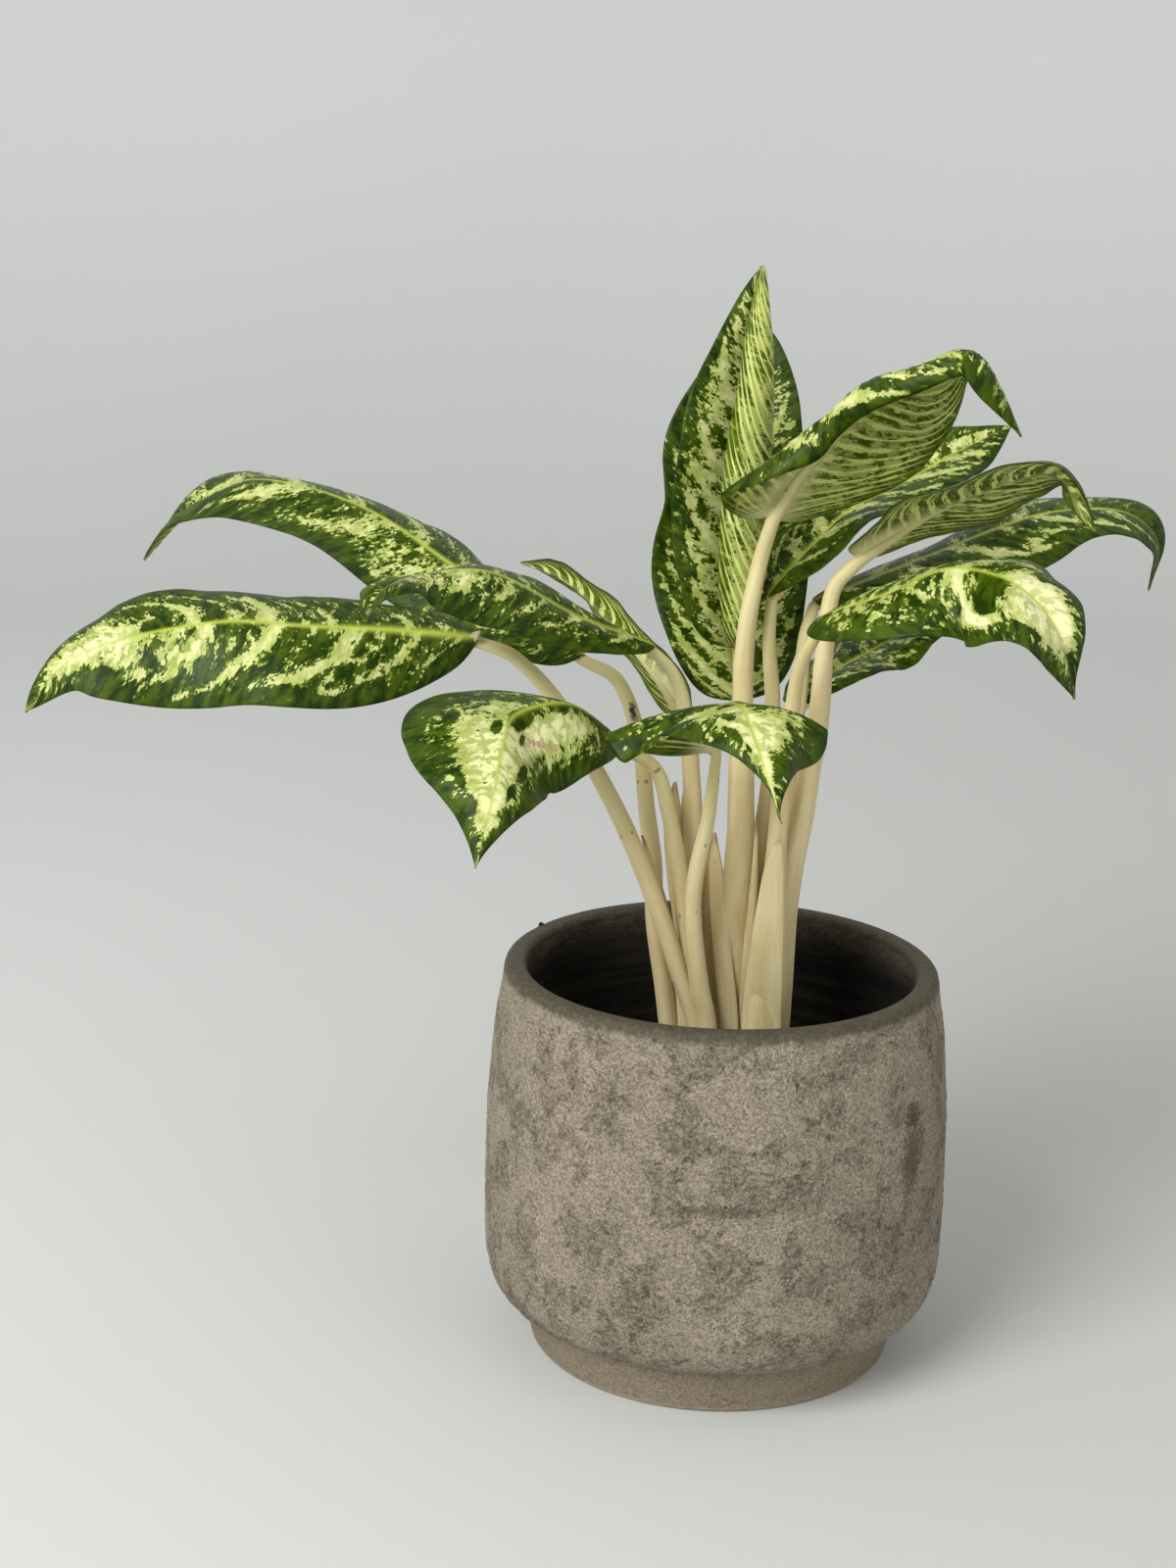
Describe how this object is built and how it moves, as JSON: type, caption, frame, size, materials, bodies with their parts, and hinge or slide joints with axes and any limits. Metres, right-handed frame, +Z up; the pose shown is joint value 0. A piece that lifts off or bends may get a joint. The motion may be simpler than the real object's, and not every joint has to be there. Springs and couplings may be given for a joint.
{
  "type": "potted chinese evergreen",
  "caption": "Potted chinese evergreen: variegated lance-shaped leaves arching from pale leaf stalks in a rough round stoneware pot with a smooth rounded lip and foot.",
  "frame": {"origin": "centre of the pot's flat underside", "axes": "+Z up, +X to the right and +Y away from the side that the plant is looked at from"},
  "size_m": [0.3789, 0.196, 0.3683],
  "materials": {
    "stoneware": "rough sandy taupe-grey glaze, smooth dark lip",
    "potting_soil": "loose dark brown crumbs",
    "leaf_stalk": "smooth ivory, faintly ribbed",
    "leaf_blade": "glossy dark green with cream and pale green feathering"
  },
  "bodies": {
    "root": {"pot": "stoneware", "soil": "potting_soil", "stem_left": "leaf_stalk", "stem_front": "leaf_stalk", "stem_centre": "leaf_stalk", "stem_right": "leaf_stalk", "leaf_arched_back": "leaf_blade", "leaf_hooked": "leaf_blade", "leaf_slim_behind": "leaf_blade", "leaf_long_low": "leaf_blade", "leaf_broad_drooping": "leaf_blade", "leaf_bent_forward": "leaf_blade", "leaf_young_furled": "leaf_blade", "leaf_broad_upright": "leaf_blade", "leaf_rolled_top": "leaf_blade", "leaf_top_behind": "leaf_blade", "leaf_seen_from_below": "leaf_blade", "leaf_far_right": "leaf_blade", "leaf_front_right": "leaf_blade", "leaf_low_back": "leaf_blade"}
  },
  "joints": []
}
